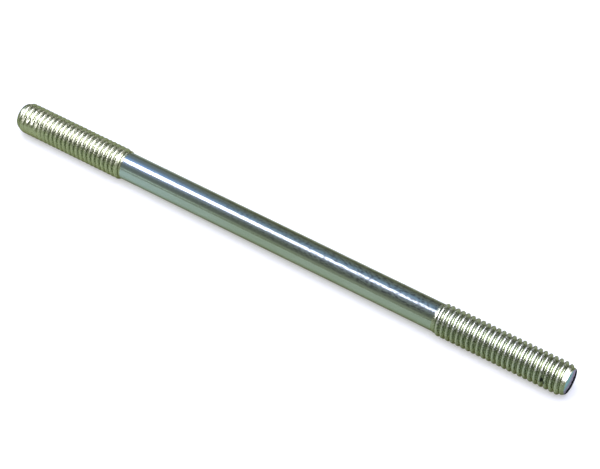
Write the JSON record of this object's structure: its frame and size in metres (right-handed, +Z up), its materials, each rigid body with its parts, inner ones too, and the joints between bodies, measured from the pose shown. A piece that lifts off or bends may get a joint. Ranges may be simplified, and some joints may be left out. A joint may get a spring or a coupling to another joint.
{
  "type": "cylinder stud",
  "caption": "Straight steel stud that clamps an engine's cylinder: a plain shank with a rolled M6 thread at each end, bright zinc plated.",
  "frame": {"origin": "on the stud's axis where the crankcase thread's full crest ends, level with the crankcase's face once it is screwed in", "axes": "+X along the stud's axis, out of the crankcase towards the end that takes the cylinder-head nut; +Z up, square to the axis"},
  "size_m": [0.1175, 0.006, 0.006],
  "materials": {
    "zinc_plate": "bright zinc plate with a faint olive passivation, glossy and slightly mottled, darker and greener in the thread grooves"
  },
  "bodies": {
    "root": {"cylinder_stud": "zinc_plate"}
  },
  "joints": []
}
